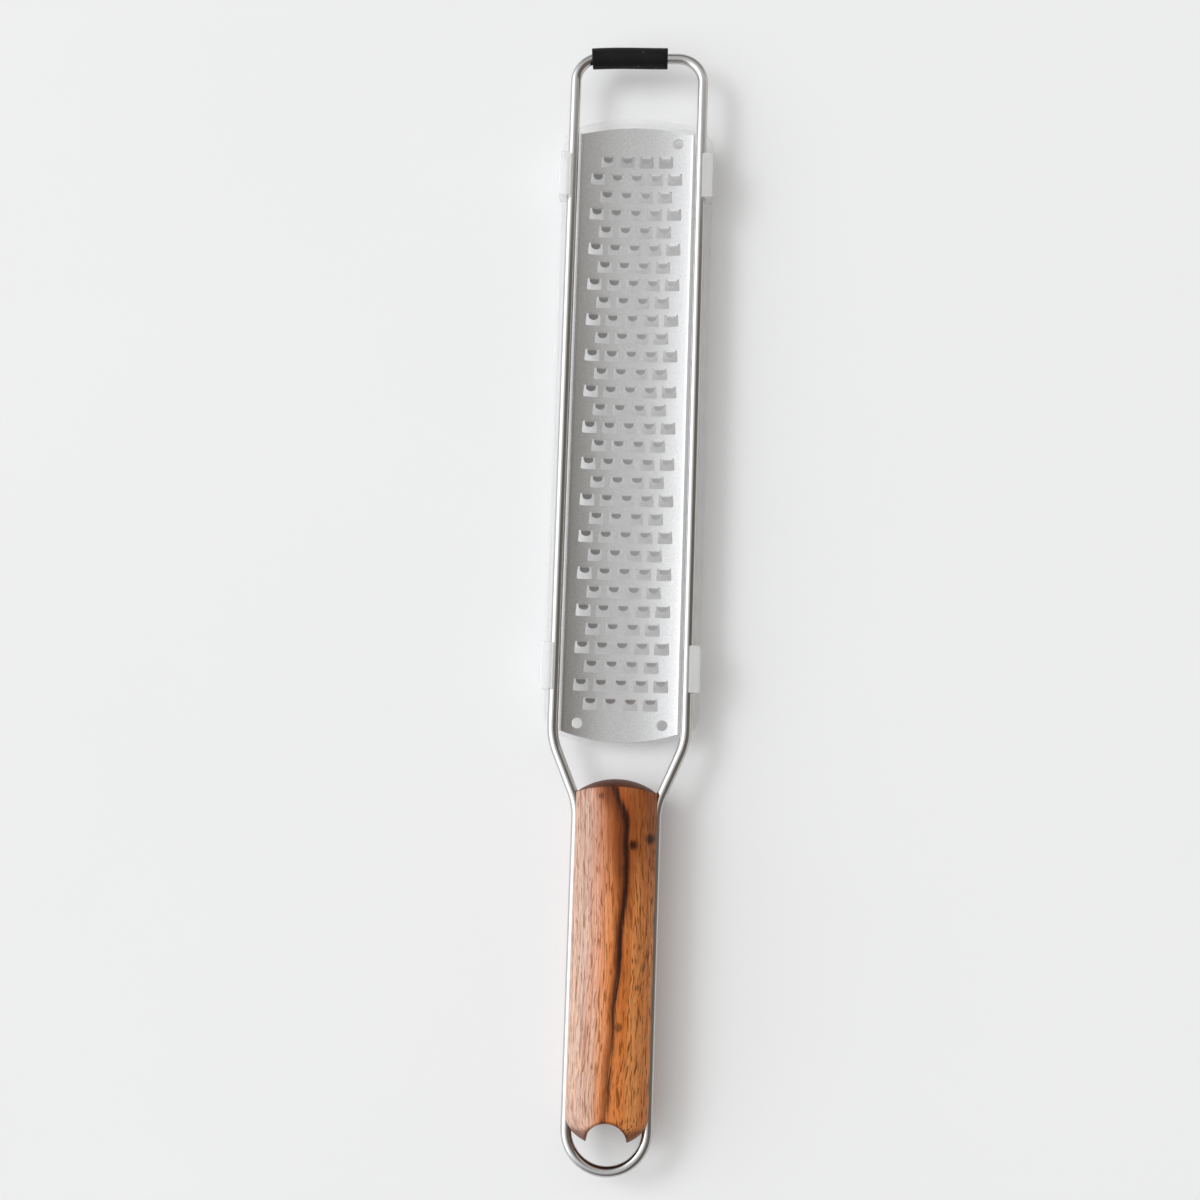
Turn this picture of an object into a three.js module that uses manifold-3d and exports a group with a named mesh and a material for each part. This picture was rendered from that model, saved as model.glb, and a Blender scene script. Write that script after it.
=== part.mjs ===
// A rasp-type cheese grater: a bent wire frame carries a troughed grating blade and a wooden handle,
// a rubber sleeve pads the nose, and a clear plastic cover clips over the teeth from below.
// Millimetres. +Y points to the nose, +Z up with the trough of the blade open to the top, and the
// origin is on the table under the middle of the whole tool.

import * as THREE from 'three';
import { mergeGeometries, mergeVertices } from 'three/addons/utils/BufferGeometryUtils.js';
import Module from 'manifold-3d';

const wasm = await Module();
wasm.setup();

// Overall sizes and fits
const overallLength = 341.1;
const fitGap = 0.3;

// Wire frame
const wireDiameter = 3.2;
const wireSides = 12;
const frameWidth = 42.8;
const handleWireWidth = 26.7;
const noseBendRadius = 7.8;
const neckBendRadius = 20;
const neckStart = 125.3;
const neckLength = 19;
const wireEndGap = 0.5;
const noseBendSteps = 6;
const neckBendSteps = 4;
const loopSteps = 14;

// Nose sleeve
const sleeveWall = 1.3;
const sleeveLength = 23.6;
const sleeveShift = -3.2;
const sleeveSides = 16;

// Grating blade
const bladeSheet = 0.5;
const bladeNoseGap = 20.1;
const bladeNeckGap = 0.8;
const bladeEndRadius = 55;
const bladeCornerRadius = 0.8;
const troughDepth = 1.7;
const troughPower = 2.6;
const lipHeight = 1;
const troughFacets = 8;

// Teeth and holes of the blade
const columnPitch = 6;
const columnWeb = 1.4;
const rowPitch = 5.63;
const rowWeb = 1.93;
const toothSideMargin = 5;
const toothEndMargin = 10.5;
const windowTaper = 0.5;
const tongueSideGap = 0.65;
const tongueTaper = 0.5;
const tongueLength = 2;
const tongueAngle = THREE.MathUtils.degToRad(40);
const holeDiameter = 3.2;
const holeSideInset = 5.2;
const holeEndInset = 5.3;
const holeSides = 16;

// Wood handle
const wireProud = 1.15;
const handleHeight = 18.25;
const handleFlatWidth = 6;
const handleNeckReach = 7.6;
const handleLoopGap = 8.9;
const handleFrontRise = 4.2;
const handleBackRise = 8.9;
const handleTipAngle = THREE.MathUtils.degToRad(10);
const notchRadius = 5.9;
const notchDepth = 7.7;
const notchSides = 32;
const domeSides = 40;
const domeSteps = 8;
const ovalSegments = 18;

// Blade cover
const coverNoseMargin = 4.1;
const coverNeckMargin = 1.1;
const coverEndRadius = 63;
const coverCornerRadius = 8;
const coverFloor = 1;
const coverRim = 1.2;
const coverSlideGap = 0.4;
const clipLength = 14;
const clipFrontInset = 20.9;
const clipBackInset = 23.2;
const clipWall = 2.1;
const clipLip = 1;
const clipLipReach = 1.2;
const clipLedge = 1.4;

// Handle: an oval cut flat below, with the wires at the height of its widest place
const handleHalfWidth = handleWireWidth / 2 - wireProud;
const flatShare = Math.sqrt(1 - (handleFlatWidth / 2 / handleHalfWidth) ** 2);
const handleHalfHeight = handleHeight / (1 + flatShare);
const wireHeight = handleHeight - handleHalfHeight;

// Places of the wires
const wireRadius = wireDiameter / 2;
const sleeveRadius = wireRadius + fitGap + sleeveWall;
const sideX = frameWidth / 2 - wireRadius;
const legX = handleWireWidth / 2 - wireRadius;
const noseY = overallLength / 2 - sleeveRadius;
const loopCentreY = -overallLength / 2 + handleWireWidth / 2;
const neckFrontY = -overallLength / 2 + neckStart;
const neckBackY = neckFrontY - neckLength;
const neckAngle = Math.atan2(sideX - legX, neckLength);
const neckTangent = neckBendRadius * Math.tan(neckAngle / 2);
const handleBackY = -overallLength / 2 + handleLoopGap;
const handleFrontY = neckBackY + handleNeckReach;

// Places of the blade and its teeth, and the cover below them. The blade's corners may pass the start of the
// neck bends, up to where the wire has drawn in by a quarter of the fit gap.
const bladeHalfWidth = sideX - wireRadius - fitGap;
const bladeBendReach = Math.sqrt((neckBendRadius * fitGap) / 2);
const bladeFrontY = noseY - wireRadius - bladeNoseGap;
const bladeBow = endBow(bladeHalfWidth, bladeEndRadius, bladeCornerRadius);
const bladeBackY = neckFrontY + neckTangent - bladeBendReach + bladeNeckGap - bladeBow;
const troughZ = wireHeight - lipHeight - troughDepth;
const windowLength = rowPitch - rowWeb;
const windowHandleWidth = columnPitch - columnWeb;
const windowNoseWidth = windowHandleWidth - windowTaper;
const tongueWidth = windowNoseWidth - 2 * tongueSideGap;
const tongueDrop = tongueLength * Math.sin(tongueAngle) + (bladeSheet / 2) * Math.cos(tongueAngle);
const toothTipZ = troughZ - bladeSheet / 2 - tongueDrop;
const coverHalfWidth = sideX + wireRadius + fitGap + clipWall;
const coverFrontY = bladeFrontY + coverNoseMargin;
const coverBackY = bladeBackY - coverNeckMargin;
const coverDepth = toothTipZ - coverSlideGap;

// Turns a closed geometry into a solid that can be joined and cut
function solidOf(geometry) {
  const bare = geometry.clone();
  bare.deleteAttribute('normal');
  bare.deleteAttribute('uv');
  const merged = mergeVertices(bare, 1e-5);
  const vertProperties = new Float32Array(merged.attributes.position.array);
  const triVerts = new Uint32Array(merged.index.array);
  return new wasm.Manifold(new wasm.Mesh({ numProp: 3, vertProperties, triVerts }));
}

// Turns a solid back into a geometry
function geometryOf(solid) {
  const mesh = solid.getMesh();
  const geometry = new THREE.BufferGeometry();
  geometry.setAttribute('position', new THREE.BufferAttribute(mesh.vertProperties, 3));
  geometry.setIndex(new THREE.BufferAttribute(mesh.triVerts, 1));
  geometry.computeVertexNormals();
  return geometry;
}

// Extrudes a plan drawn in X and Y between two heights
function prism(plan, bottom, top, curveSegments = 6) {
  const options = { depth: top - bottom, bevelEnabled: false, curveSegments };
  return new THREE.ExtrudeGeometry(plan, options).translate(0, 0, bottom);
}

// Extrudes a section drawn in X and Z from one Y to a larger one
function bar(section, back, front, curveSegments = 6, steps = 1) {
  const options = { depth: front - back, bevelEnabled: false, curveSegments, steps };
  return new THREE.ExtrudeGeometry(section, options).rotateX(Math.PI / 2).translate(0, front, 0);
}

// A round rod of the given radius about a line along Z
function upright(radius, x, y, bottom, top, sides) {
  const geometry = new THREE.CylinderGeometry(radius, radius, top - bottom, sides);
  return geometry.rotateX(Math.PI / 2).translate(x, y, (top + bottom) / 2).toNonIndexed();
}

// A route of straight runs and round bends in the plane of the wires. It is read only at its stations,
// the ends of the runs and a few steps in each bend, each with its point and its direction.
class WireRoute extends THREE.Curve {
  constructor(start, heading) {
    super();
    this.stations = [];
    this.point = start.clone();
    this.heading = heading;
    this.mark();
  }

  direction() {
    return new THREE.Vector2(Math.cos(this.heading), Math.sin(this.heading));
  }

  mark() {
    const ahead = this.direction();
    const point = new THREE.Vector3(this.point.x, this.point.y, wireHeight);
    this.stations.push({ point, tangent: new THREE.Vector3(ahead.x, ahead.y, 0) });
    return this;
  }

  run(length) {
    this.point.addScaledVector(this.direction(), length);
    return this.mark();
  }

  // Turns by an angle, positive to the left, on a bend of the given radius
  bend(angle, radius, steps) {
    const side = Math.sign(angle) * radius;
    const toCentre = new THREE.Vector2(-Math.sin(this.heading), Math.cos(this.heading));
    const centre = this.point.clone().addScaledVector(toCentre, side);
    for (let step = 0; step < steps; step += 1) {
      this.heading += angle / steps;
      this.point.set(centre.x + side * Math.sin(this.heading), centre.y - side * Math.cos(this.heading));
      this.mark();
    }
    return this;
  }

  stationAt(t) {
    return this.stations[Math.round(t * (this.stations.length - 1))];
  }

  getUtoTmapping(u) {
    return u;
  }

  getPoint(t, target = new THREE.Vector3()) {
    return target.copy(this.stationAt(t).point);
  }

  getTangent(t, target = new THREE.Vector3()) {
    return target.copy(this.stationAt(t).tangent);
  }

  sweep(section) {
    const steps = this.stations.length - 1;
    return new THREE.ExtrudeGeometry(section, { extrudePath: this, steps });
  }
}

// A regular polygon whose corners lie on the given radius
function polygon(radius, sides) {
  const corners = [];
  for (let corner = 0; corner < sides; corner += 1) {
    const angle = (corner / sides) * 2 * Math.PI;
    corners.push(new THREE.Vector2(radius * Math.cos(angle), radius * Math.sin(angle)));
  }
  return corners;
}

// The rod starts inside the sleeve, runs to the right corner of the nose, down the right side, in at the
// neck, along the handle, round the hanging loop and back up the left side in the same way
function frameRoute() {
  const sideRun = noseY - noseBendRadius - neckFrontY - neckTangent;
  const neckRun = Math.hypot(sideX - legX, neckLength) - 2 * neckTangent;
  const legRun = neckBackY - neckTangent - loopCentreY;
  const noseRun = sideX - noseBendRadius - wireEndGap / 2;
  const route = new WireRoute(new THREE.Vector2(sleeveShift + wireEndGap / 2, noseY), 0);
  route.run(noseRun - sleeveShift).bend(-Math.PI / 2, noseBendRadius, noseBendSteps);
  route.run(sideRun).bend(-neckAngle, neckBendRadius, neckBendSteps);
  route.run(neckRun).bend(neckAngle, neckBendRadius, neckBendSteps);
  route.run(legRun).bend(-Math.PI, legX, loopSteps).run(legRun);
  route.bend(neckAngle, neckBendRadius, neckBendSteps).run(neckRun);
  route.bend(-neckAngle, neckBendRadius, neckBendSteps).run(sideRun);
  return route.bend(-Math.PI / 2, noseBendRadius, noseBendSteps).run(noseRun + sleeveShift);
}

function wireFrame() {
  return frameRoute().sweep(new THREE.Shape(polygon(wireRadius, wireSides)));
}

// The sleeve follows the crossbar and bends with it where it reaches past a corner of the nose
function noseSleeve() {
  const straightEnd = sideX - noseBendRadius;
  const rightEnd = sleeveShift + sleeveLength / 2;
  const leftEnd = sleeveShift - sleeveLength / 2;
  const overRight = Math.max(rightEnd - straightEnd, 0);
  const overLeft = Math.max(-straightEnd - leftEnd, 0);
  const bendSteps = 3;
  const start = new THREE.Vector2(rightEnd - overRight, noseY);
  const heading = Math.PI;
  let route = new WireRoute(start, heading);
  if (overRight > 0) {
    const angle = overRight / noseBendRadius;
    start.x += noseBendRadius * Math.sin(angle);
    start.y -= noseBendRadius * (1 - Math.cos(angle));
    route = new WireRoute(start, heading - angle).bend(angle, noseBendRadius, bendSteps);
  }
  route.run(sleeveLength - overRight - overLeft);
  if (overLeft > 0) {
    route.bend(overLeft / noseBendRadius, noseBendRadius, bendSteps);
  }
  const ring = new THREE.Shape(polygon(sleeveRadius, sleeveSides));
  ring.holes.push(new THREE.Path(polygon(wireRadius + fitGap, wireSides)));
  return route.sweep(ring);
}

// How far the bowed end of a plan stands out past the start of its rounded corners
function endBow(halfWidth, endRadius, cornerRadius) {
  return endRadius - Math.sqrt((endRadius - cornerRadius) ** 2 - (halfWidth - cornerRadius) ** 2);
}

// A long plan with straight sides, ends that bow outwards on a large radius, and rounded corners.
// An inset moves the whole outline inwards by an even amount.
function bowedPlan(halfWidth, back, front, endRadius, cornerRadius, inset = 0) {
  const plan = new THREE.Shape();
  const cornerX = halfWidth - cornerRadius;
  const rise = endRadius - endBow(halfWidth, endRadius, cornerRadius);
  const tilt = Math.atan2(rise, cornerX);
  const frontArcY = front - endRadius;
  const backArcY = back + endRadius;
  const corner = cornerRadius - inset;
  const end = endRadius - inset;
  plan.absarc(cornerX, frontArcY + rise, corner, 0, tilt);
  plan.absarc(0, frontArcY, end, tilt, Math.PI - tilt);
  plan.absarc(-cornerX, frontArcY + rise, corner, Math.PI - tilt, Math.PI);
  plan.absarc(-cornerX, backArcY - rise, corner, Math.PI, Math.PI + tilt);
  plan.absarc(0, backArcY, end, Math.PI + tilt, 2 * Math.PI - tilt);
  plan.absarc(cornerX, backArcY - rise, corner, -tilt, 0);
  plan.closePath();
  return plan;
}

// Height of the upper face of the trough, flat in the middle and steeper towards its lips
function troughHeight(x) {
  return troughZ + troughDepth * (Math.abs(x) / (bladeHalfWidth - bladeSheet)) ** troughPower;
}

// Section of the pressed sheet: the trough with a short lip standing up along each side
function bladeSection() {
  const innerX = bladeHalfWidth - bladeSheet;
  const upper = [];
  for (let facet = 0; facet <= troughFacets; facet += 1) {
    const x = innerX * Math.sin((facet / troughFacets - 0.5) * Math.PI);
    upper.push(new THREE.Vector2(x, troughHeight(x)));
  }
  const lower = upper.map((point) => new THREE.Vector2(point.x, point.y - bladeSheet)).reverse();
  lower[0].x = bladeHalfWidth;
  lower[troughFacets].x = -bladeHalfWidth;
  const leftLip = [new THREE.Vector2(-bladeHalfWidth, wireHeight), new THREE.Vector2(-innerX, wireHeight)];
  const rightLip = [new THREE.Vector2(innerX, wireHeight), new THREE.Vector2(bladeHalfWidth, wireHeight)];
  return new THREE.Shape([...leftLip, ...upper, ...rightLip, ...lower].reverse());
}

// Places of the teeth: rows at an even pitch, every other row set over by half a column
function toothPlaces() {
  const places = [];
  const toothedLength = bladeFrontY - bladeBackY - 2 * toothEndMargin;
  const rows = Math.floor(toothedLength / rowPitch) + 1;
  const firstY = (bladeFrontY + bladeBackY) / 2 + ((rows - 1) / 2) * rowPitch;
  for (let row = 0; row < rows; row += 1) {
    const shift = row % 2 === 0 ? columnPitch / 2 : 0;
    const reach = bladeHalfWidth - toothSideMargin;
    const sideColumns = Math.floor((reach - shift) / columnPitch);
    const firstX = -shift - sideColumns * columnPitch;
    for (let x = firstX; x <= -firstX + columnPitch / 4; x += columnPitch) {
      places.push({ x, y: firstY - row * rowPitch });
    }
  }
  return places;
}

// The opening behind one tooth, wider at its handle end, cut right through the sheet
function toothWindow({ x, y }) {
  const front = y + windowLength / 2;
  const back = y - windowLength / 2;
  const plan = new THREE.Shape([
    new THREE.Vector2(x - windowHandleWidth / 2, back),
    new THREE.Vector2(x + windowHandleWidth / 2, back),
    new THREE.Vector2(x + windowNoseWidth / 2, front),
    new THREE.Vector2(x - windowNoseWidth / 2, front),
  ]);
  return prism(plan, troughZ - 2 * bladeSheet, wireHeight);
}

// The tooth itself: a tongue bent down from the nose end of its window, narrower at its tip
function toothTongue({ x, y }) {
  const half = tongueWidth / 2;
  const tipHalf = half - tongueTaper;
  const plan = new THREE.Shape([
    new THREE.Vector2(-half, 0),
    new THREE.Vector2(-tipHalf, -tongueLength),
    new THREE.Vector2(tipHalf, -tongueLength),
    new THREE.Vector2(half, 0),
  ]);
  const slope = (troughHeight(x + half) - troughHeight(x - half)) / tongueWidth;
  const tongue = prism(plan, -bladeSheet / 2, bladeSheet / 2).rotateX(tongueAngle);
  const rootY = y + windowLength / 2 + bladeSheet / 4;
  return tongue.rotateY(-Math.atan(slope)).translate(x, rootY, troughHeight(x) - bladeSheet / 2);
}

// Round holes near the corners: one at the nose end, on the right, and two at the handle end
function bladeHoles() {
  const x = bladeHalfWidth - holeSideInset;
  const front = bladeFrontY - holeEndInset;
  const back = bladeBackY + holeEndInset;
  const places = [[x, front], [x, back], [-x, back]];
  const radius = holeDiameter / 2;
  const bottom = troughZ - 2 * bladeSheet;
  return places.map(([holeX, holeY]) => upright(radius, holeX, holeY, bottom, wireHeight, holeSides));
}

function gratingBlade() {
  const places = toothPlaces();
  const plan = bowedPlan(bladeHalfWidth, bladeBackY, bladeFrontY, bladeEndRadius, bladeCornerRadius);
  const sheet = solidOf(bar(bladeSection(), bladeBackY, bladeFrontY));
  const outline = solidOf(prism(plan, troughZ - 2 * bladeSheet, wireHeight + lipHeight));
  const cuts = solidOf(mergeGeometries([...places.map(toothWindow), ...bladeHoles()]));
  const tongues = solidOf(mergeGeometries(places.map(toothTongue)));
  return geometryOf(sheet.intersect(outline).subtract(cuts).add(tongues));
}

// Oval section of the handle, cut flat below where it rests on the table
function handleSection() {
  const flatAngle = Math.asin(flatShare);
  const section = new THREE.Shape();
  section.absellipse(0, wireHeight, handleHalfWidth, handleHalfHeight, -flatAngle, Math.PI + flatAngle);
  section.closePath();
  return section;
}

// The oval drawn out along Y. Towards its back it narrows evenly like an egg's end, up to a small flat
// that the notch takes away.
function handleBar() {
  const geometry = bar(handleSection(), 0, domeSteps + 1, ovalSegments, domeSteps + 1);
  const { position } = geometry.attributes;
  for (let index = 0; index < position.count; index += 1) {
    const station = Math.round(position.getY(index));
    const turned = Math.min(station, domeSteps) / domeSteps;
    const angle = THREE.MathUtils.lerp(handleTipAngle, Math.PI / 2, turned);
    const share = Math.sin(angle);
    const backY = handleBackY + handleBackRise * (1 - Math.cos(angle));
    const x = share * position.getX(index);
    const y = station > domeSteps ? handleFrontY : backY;
    const z = wireHeight + share * (position.getZ(index) - wireHeight);
    position.setXYZ(index, x, y, z);
  }
  return geometry;
}

// A round body along Y with a domed front. Past the half width of the handle it steps straight out, so
// that it shapes only the front of the oval.
function frontDome() {
  const reach = 1.1 * handleHalfWidth;
  const back = handleBackY - handleFrontRise;
  const radius = (handleHalfWidth ** 2 + handleFrontRise ** 2) / (2 * handleFrontRise);
  const profile = [
    new THREE.Vector2(0, back),
    new THREE.Vector2(reach, back),
    new THREE.Vector2(reach, handleFrontY - handleFrontRise),
  ];
  for (let step = domeSteps; step >= 0; step -= 1) {
    const angle = (Math.asin(handleHalfWidth / radius) * step) / domeSteps;
    profile.push(new THREE.Vector2(radius * Math.sin(angle), handleFrontY - radius * (1 - Math.cos(angle))));
  }
  return new THREE.LatheGeometry(profile, domeSides).translate(0, 0, wireHeight);
}

// The handle is the oval with its shaped ends, less the grooves of the wires and the notch at its back
function woodHandle() {
  const grooves = solidOf(frameRoute().sweep(new THREE.Shape(polygon(wireRadius + fitGap, wireSides))));
  const notchY = handleBackY + notchDepth - notchRadius;
  const notch = solidOf(upright(notchRadius, 0, notchY, -handleHeight, 2 * handleHeight, notchSides));
  const shaped = solidOf(handleBar()).intersect(solidOf(frontDome()));
  return geometryOf(shaped.subtract(grooves).subtract(notch));
}

// Section of a clip on the right: a wall beside the wire, a ledge under it and a lip over it
function clipSection() {
  const wallX = sideX + wireRadius + fitGap;
  const ledgeX = bladeHalfWidth + 2 * fitGap;
  const ledgeZ = wireHeight - wireRadius - fitGap;
  const lipX = sideX + wireRadius - clipLipReach;
  const lipZ = wireHeight + wireRadius + fitGap;
  const top = lipZ + clipLip;
  const chamfer = clipLip / 2;
  return new THREE.Shape([
    new THREE.Vector2(wallX, 0),
    new THREE.Vector2(coverHalfWidth, 0),
    new THREE.Vector2(coverHalfWidth, top - chamfer),
    new THREE.Vector2(coverHalfWidth - chamfer, top),
    new THREE.Vector2(lipX, top),
    new THREE.Vector2(lipX, lipZ),
    new THREE.Vector2(wallX, lipZ),
    new THREE.Vector2(wallX, ledgeZ),
    new THREE.Vector2(ledgeX, ledgeZ),
    new THREE.Vector2(ledgeX, ledgeZ - clipLedge),
    new THREE.Vector2(wallX, ledgeZ - clipLedge),
  ]);
}

// A shallow tray with a low rim, and two clips on each side
function bladeCover() {
  const outline = [coverHalfWidth, coverBackY, coverFrontY, coverEndRadius, coverCornerRadius];
  const block = solidOf(prism(bowedPlan(...outline), 0, coverDepth));
  const hollow = solidOf(prism(bowedPlan(...outline, coverRim), coverFloor, 2 * coverDepth));
  let cover = block.subtract(hollow);
  for (const clipY of [coverFrontY - clipFrontInset, coverBackY + clipBackInset]) {
    const clip = bar(clipSection(), clipY - clipLength / 2, clipY + clipLength / 2);
    const opposite = clip.clone().translate(0, -clipY, 0).rotateZ(Math.PI).translate(0, clipY, 0);
    cover = cover.add(solidOf(clip)).add(solidOf(opposite));
  }
  return geometryOf(cover);
}

function steel(color, roughness) {
  return new THREE.MeshStandardMaterial({ color, roughness, metalness: 1 });
}

function moulded(color, roughness, opacity = 1) {
  const transparent = opacity < 1;
  return new THREE.MeshStandardMaterial({ color, roughness, metalness: 0, opacity, transparent });
}

function piece(name, geometry, material) {
  const mesh = new THREE.Mesh(geometry, material);
  mesh.name = name;
  return mesh;
}

const grater = new THREE.Group();
grater.add(piece('wire_frame', wireFrame(), steel(0xc2c4c8, 0.15)));
grater.add(piece('grating_blade', gratingBlade(), steel(0xa7a6a4, 0.35)));
grater.add(piece('nose_sleeve', noseSleeve(), moulded(0x1b1c21, 0.75)));
grater.add(piece('wood_handle', woodHandle(), moulded(0x8f5f3e, 0.5)));
grater.add(piece('blade_cover', bladeCover(), moulded(0xe4e8ea, 0.25, 0.4)));

export default grater;
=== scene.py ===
"""A rasp-type cheese grater lying on a pale table: bent wire, toothed blade, sleeve, wooden handle and clear cover."""

import math

import bmesh
import bpy
import numpy as np
from bpy.props import FloatProperty, FloatVectorProperty, IntProperty, PointerProperty
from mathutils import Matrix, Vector


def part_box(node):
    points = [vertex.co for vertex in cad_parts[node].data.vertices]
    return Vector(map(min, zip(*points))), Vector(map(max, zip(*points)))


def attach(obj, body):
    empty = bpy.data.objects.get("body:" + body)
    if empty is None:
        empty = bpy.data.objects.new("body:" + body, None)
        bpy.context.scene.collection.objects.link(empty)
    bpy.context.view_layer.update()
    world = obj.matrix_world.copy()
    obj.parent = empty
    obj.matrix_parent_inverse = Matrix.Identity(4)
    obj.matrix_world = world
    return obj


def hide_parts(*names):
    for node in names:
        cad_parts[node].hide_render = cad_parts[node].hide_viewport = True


bl_info = {
    "name": "Cheese grater",
    "version": (1, 0, 0),
    "blender": (4, 5, 0),
    "location": "View3D > Sidebar > Grater",
    "description": "Builds a rasp-type cheese grater with its finishes and a small studio around it",
    "category": "Add Mesh",
}

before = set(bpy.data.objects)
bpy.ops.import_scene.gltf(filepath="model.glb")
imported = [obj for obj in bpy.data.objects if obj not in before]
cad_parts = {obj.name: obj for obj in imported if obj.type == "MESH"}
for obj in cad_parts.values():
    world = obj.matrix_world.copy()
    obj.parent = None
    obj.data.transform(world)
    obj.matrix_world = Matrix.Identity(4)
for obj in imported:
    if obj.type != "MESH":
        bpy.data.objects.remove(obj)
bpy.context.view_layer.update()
wire_low, wire_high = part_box("wire_frame")
blade_low, blade_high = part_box("grating_blade")
sleeve_low, sleeve_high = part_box("nose_sleeve")
_, handle_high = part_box("wood_handle")
cover_low, cover_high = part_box("blade_cover")
wire_height = (wire_low.z + wire_high.z) / 2


def length(name, description, default):
    """A property that holds a length in metres."""
    return FloatProperty(name=name, description=description, default=default, min=0.0, precision=5, unit="LENGTH")


def place(name, description, default):
    """A property that holds one coordinate in metres."""
    return FloatProperty(name=name, description=description, default=default, precision=5, unit="LENGTH")


def colour(name, description, default):
    """A property that holds a colour."""
    return FloatVectorProperty(name=name, description=description, default=default, min=0.0, max=1.0,
                               subtype="COLOR")


def count(name, description, default, least):
    """A property that holds a number of things."""
    return IntProperty(name=name, description=description, default=default, min=least)


def point(name, description, default):
    """A property that holds a place in the room."""
    return FloatVectorProperty(name=name, description=description, default=default, subtype="TRANSLATION",
                               unit="LENGTH")


class WireSettings(bpy.types.PropertyGroup):
    """Sizes and colour of the bent wire."""

    diameter: length("Diameter", "Thickness of the wire", wire_high.z - wire_low.z)
    leg_spacing: length("Leg spacing", "Between the centre lines of the two legs at the handle", 0.0235)
    nose_bend: length("Nose bend", "Radius of the two bends at the nose, at the wire's middle", 0.0078)
    neck_bend: length("Neck bend", "Radius of the four bends of the neck, at the wire's middle", 0.020)
    neck_front: place("Neck front", "Where the neck starts to draw in", -0.04525)
    neck_back: place("Neck back", "Where the neck reaches the handle's width", -0.06425)
    bend_steps: count("Bend steps", "Stations round each bend", 18, least=4)
    sides: count("Sides", "Points round the wire", 32, least=8)
    steel: colour("Steel", "Colour of the polished wire", (0.57, 0.56, 0.555))


class BladeSettings(bpy.types.PropertyGroup):
    """Sizes and colour of the toothed blade."""

    sheet: length("Sheet", "Thickness of the sheet", 0.0005)
    trough_depth: length("Trough depth", "How far the middle lies below the foot of the lips", 0.0017)
    trough_power: FloatProperty(name="Trough power", description="Higher is flatter in the middle", default=2.6)
    lip_height: length("Lip height", "Height of the turned-up lips along the wires", 0.001)
    lip_bend: length("Lip bend", "Inner radius where a lip turns up", 0.0006)
    end_radius: length("End radius", "Radius of the two bowed ends", 0.055)
    corner_radius: length("Corner radius", "Radius of the four corners", 0.0008)
    column_pitch: length("Column pitch", "Between two teeth of a row", 0.006)
    row_pitch: length("Row pitch", "Between two rows", 0.00563)
    rows: count("Rows", "Rows of teeth, four and five in turn", 31, least=1)
    first_row: place("First row", "Middle of the row nearest the nose", 0.13443)
    window_length: length("Window length", "Length of the opening at a tooth", 0.0037)
    window_front: length("Window front width", "Width of an opening at its nose side", 0.0041)
    window_back: length("Window back width", "Width of an opening at its handle side", 0.0046)
    tongue_width: length("Tongue width", "Width of a tooth at its root", 0.0029)
    tongue_length: length("Tongue length", "Length of a tooth along its bend", 0.00205)
    tongue_angle: FloatProperty(name="Tongue angle", description="How far a tooth is pushed down",
                                default=math.radians(38), subtype="ANGLE")
    hole_diameter: length("Hole diameter", "Diameter of the three round holes", 0.0032)
    hole_across: length("Hole across", "Distance of a hole from the middle line", 0.0127)
    hole_inset: length("Hole inset", "Distance of a hole from the tip of its end", 0.0053)
    steel: colour("Steel", "Colour of the satin sheet", (0.68, 0.68, 0.68))


class SleeveSettings(bpy.types.PropertyGroup):
    """Sizes and colour of the rubber sleeve on the nose."""

    start: place("Start", "Right-hand end on the crossbar", sleeve_high.x)
    reach: length("Reach", "Length along the wire", 0.0236)
    edge: length("Edge", "Rounding of the two ends", 0.0003)
    sag: length("Sag", "How far the left end sinks round the bend", 0.0004)
    rubber: colour("Rubber", "Colour of the rubber", (0.0032, 0.0030, 0.0034))


class HandleSettings(bpy.types.PropertyGroup):
    """Sizes and colours of the wooden handle."""

    half_width: length("Half width", "Half of the oval's width", 0.0122)
    half_height: length("Half height", "Half of the oval's height before its underside is flattened", 0.009267)
    back_tip: place("Back tip", "Tip of the rounded back before the notch is cut from it", -0.16165)
    back_rise: length("Back rise", "Length over which the back narrows to its tip", 0.0089)
    front_radius: length("Front radius", "Radius of the domed end at the neck", 0.01982)
    notch_radius: length("Notch radius", "Radius of the round notch for hanging", 0.0059)
    notch_middle: place("Notch middle", "Centre of the round notch", -0.15985)
    groove_radius: length("Groove radius", "Radius of the groove that takes the wire", 0.00175)
    groove_mouth: length("Groove mouth", "Half of the opening of the groove", 0.0018)
    edge: length("Edge", "Rounding of the handle's edges", 0.0005)
    pale: colour("Pale wood", "Colour of the light figure", (0.93, 0.363, 0.114))
    warm: colour("Warm wood", "Colour of the orange-brown figure", (0.78, 0.210, 0.038))
    # the paler wood on the left: partly sapwood, partly a painted sheen
    sapwood_and_sheen: colour("Sapwood", "Colour of the paler wood left of the streak", (0.53, 0.415, 0.355))
    red: colour("Red wood", "Colour of the heartwood towards the neck", (0.24, 0.053, 0.012))
    dark: colour("Dark wood", "Colour of the dark streak and the knots", (0.026, 0.0075, 0.0045))


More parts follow.
